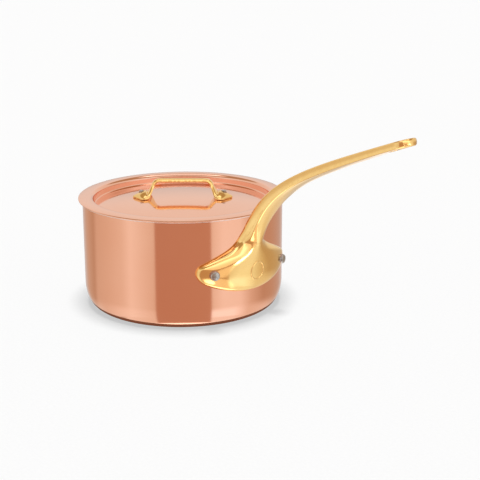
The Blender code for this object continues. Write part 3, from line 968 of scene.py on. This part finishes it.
# What the lid sees, above and behind, goes by the direction itself
HIGH_RING = [
    (-180, warm(0.88)), (-120, warm(0.84)), (-60, warm(0.95)), (-20, warm(1.1)),
    (20, warm(1.1)), (60, warm(0.95)), (120, warm(0.84)), (180, warm(0.88)),
]
# Where each gives way to the next, by the height of the direction: -1 straight down, 1 up
DEEP_FADE = (-0.4, -0.6)
EDGE_FADE = (-0.74, -0.8)
NADIR_FADE = (-0.93, -0.97)
CEILING_FADE = (0.56, 0.64)
OVERHEAD_FADE = (0.86, 0.93)
ZENITH_FADE = (0.93, 0.95)
HIGH_FADE = (0.15, 0.3)      # by how far up the mirroring surface faces: 0 level, 1 up
BEHIND_FADE = (0.6, 0.3)     # by the length of the half-way vector: 0 straight behind the pan
# Cards for the bronze: (name, degrees from the camera, degrees up, degrees wide, brightness)
HANDLE_CARDS = [
    ("card_front", 38.0, -3.0, 14.0, 3.6),
    ("card_low", -4.0, -46.0, 18.0, 1.6),
    ("card_lower", 10.0, -55.0, 50.0, 0.45),
    ("card_level", 22.0, -16.0, 24.0, 0.45),
    ("card_behind", 180.0, -16.0, 30.0, 0.4),
    ("card_high", 14.0, 32.0, 62.0, 0.6),
]


def ring_ramp(tree, azimuth, ring):
    """A ring's colour at an azimuth that goes once round from 0 to 1."""
    node = tree.nodes.new("ShaderNodeValToRGB")
    elements = node.color_ramp.elements
    elements.remove(elements[1])
    elements[0].position = 0.0
    elements[0].color = ring[0][1]
    for degrees, colour in ring[1:]:
        elements.new(degrees / 360 + 0.5).color = colour
    tree.links.new(azimuth, node.inputs[0])
    return node.outputs[0]


def build_world():
    """The room: what polished metal mirrors, a plain backdrop and plain light for the rest."""
    world = bpy.data.worlds.new("studio")
    bpy.context.scene.world = world
    world.use_nodes = True
    tree = world.node_tree
    new, link = tree.nodes.new, tree.links.new

    def feed(socket, value):
        if isinstance(value, bpy.types.NodeSocket):
            link(value, socket)
        else:
            socket.default_value = value

    def calc(operation, first, second=0.0):
        node = new("ShaderNodeMath")
        node.operation = operation
        feed(node.inputs[0], first)
        feed(node.inputs[1], second)
        return node.outputs[0]

    def length(first, second):
        squares = calc("ADD", calc("MULTIPLY", first, first), calc("MULTIPLY", second, second))
        return calc("SQRT", squares)

    def mix(factor, first, second):
        node = new("ShaderNodeMix")
        node.data_type = "RGBA"
        feed(node.inputs[0], factor)
        feed(node.inputs[6], first)
        feed(node.inputs[7], second)
        return node.outputs[2]

    def give_way(first, second, value, fade):
        """From the first colour to the second as the value goes through the fade."""
        node = new("ShaderNodeMapRange")
        node.interpolation_type = "SMOOTHSTEP"
        feed(node.inputs["Value"], value)
        node.inputs["From Min"].default_value, node.inputs["From Max"].default_value = fade
        return mix(node.outputs[0], first, second)

    turn = new("ShaderNodeVectorRotate")
    turn.rotation_type = "Z_AXIS"
    turn.inputs["Angle"].default_value = math.radians(-CAMERA_AZIMUTH)
    link(new("ShaderNodeTexCoord").outputs["Generated"], turn.inputs["Vector"])
    split = new("ShaderNodeSeparateXYZ")
    link(turn.outputs[0], split.inputs[0])
    x, y, z = split.outputs
    around = calc("ADD", calc("DIVIDE", calc("ARCTAN2", y, x), 2 * math.pi), 0.5)
    # A surface that mirrors this direction to the camera faces half-way between the two
    facing_x = calc("ADD", x, math.sin(math.radians(CAMERA_PITCH)))
    facing_z = calc("ADD", z, math.cos(math.radians(CAMERA_PITCH)))
    level = length(facing_x, y)
    upward = calc("DIVIDE", calc("ARCTAN2", facing_z, level), math.pi / 2)
    facing = calc("ADD", calc("DIVIDE", calc("ARCTAN2", y, facing_x), math.pi), 0.5)
    seen = ring_ramp(tree, facing, LOW_RING)
    seen = give_way(seen, ring_ramp(tree, facing, DEEP_RING), z, DEEP_FADE)
    seen = give_way(seen, ring_ramp(tree, facing, EDGE_RING), z, EDGE_FADE)
    seen = give_way(seen, NADIR, z, NADIR_FADE)
    seen = give_way(seen, ring_ramp(tree, around, HIGH_RING), upward, HIGH_FADE)
    # Straight behind the pan there is no such half-way direction, so one colour fills in
    seen = give_way(seen, BEHIND, length(level, facing_z), BEHIND_FADE)
    seen = give_way(seen, CEILING, z, CEILING_FADE)
    seen = give_way(seen, OVERHEAD_RING, z, OVERHEAD_FADE)
    seen = give_way(seen, ZENITH, z, ZENITH_FADE)
    path = new("ShaderNodeLightPath").outputs
    seen = mix(path["Is Camera Ray"], seen, BACKDROP)
    seen = mix(path["Is Diffuse Ray"], seen, MATT_LIGHT)
    link(seen, tree.nodes["Background"].inputs["Color"])


def disc(name, radius, height, material):
    """A flat round sheet of the studio, which casts no shadow."""
    bm = bmesh.new()
    bmesh.ops.create_circle(bm, cap_ends=True, segments=96, radius=radius)
    plate = make_object(name, bm, material)
    plate.location.z = height * MM
    plate.visible_shadow = False
    return plate


def build_floor():
    """A pale floor, and under it a sheet of painted shade that metal near the floor mirrors as the
    contact shadow.
    """
    white = paper_material("floor_paper", (0.93, 0.93, 0.93), (0.91, 0.91, 0.91), 0.0)
    floor = disc("floor", FLOOR_RADIUS, FLOOR_HEIGHT, white)
    floor.visible_glossy = False
    # painted shade: a dark sheet the camera never sees, which the metal mirrors as the contact
    # shadow round the pan's base
    painted_shadow_material = paper_material("painted_contact_shadow", (0.3, 0.16, 0.1), (0.26, 0.14, 0.09), 0.5)
    painted_shadow_sheet = disc("painted_contact_shadow", PAINTED_SHADOW_RADIUS, PAINTED_SHADOW_HEIGHT, painted_shadow_material)
    painted_shadow_sheet.visible_camera = False
    painted_shadow_sheet.visible_diffuse = False


def add_sun(name, width, strength, azimuth, elevation):
    """A far soft light, width degrees across, that shines from an azimuth and elevation."""
    data = bpy.data.lights.new(name, "SUN")
    data.angle = math.radians(width)
    data.energy = strength
    light = bpy.data.objects.new(name, data)
    bpy.context.scene.collection.objects.link(light)
    azimuth, elevation = math.radians(azimuth), math.radians(elevation)
    towards = Vector((math.cos(azimuth) * math.cos(elevation),
                      math.sin(azimuth) * math.cos(elevation), math.sin(elevation)))
    light.rotation_euler = towards.to_track_quat("Z", "Y").to_euler()
    return light


def build_lights(bronze_pieces):
    """One even light from above, and soft cards that only the polished bronze catches."""
    overhead = add_sun("overhead", OVERHEAD_ANGLE, OVERHEAD_STRENGTH, 0.0, 90.0)
    overhead.visible_glossy = False
    receivers = bpy.data.collections.new("bronze_pieces")
    for piece in bronze_pieces:
        receivers.objects.link(piece)
    for name, turn, tilt, width, brightness in HANDLE_CARDS:
        strength = brightness * math.pi * math.sin(math.radians(width / 2)) ** 2
        card = add_sun(name, width, strength, CAMERA_AZIMUTH + turn, tilt)
        card.light_linking.receiver_collection = receivers


def build_camera():
    data = bpy.data.cameras.new("camera")
    data.lens = CAMERA_LENS
    data.sensor_width = 36.0
    data.clip_end = 100.0
    camera = bpy.data.objects.new("camera", data)
    bpy.context.scene.collection.objects.link(camera)
    camera.location = CAMERA_PLACE
    camera.rotation_euler = (math.radians(CAMERA_PITCH), 0.0, math.radians(CAMERA_TURN))
    bpy.context.scene.camera = camera


build_world()
build_floor()
build_lights([handle, grip])
build_camera()
bpy.context.scene.view_settings.view_transform = "Standard"
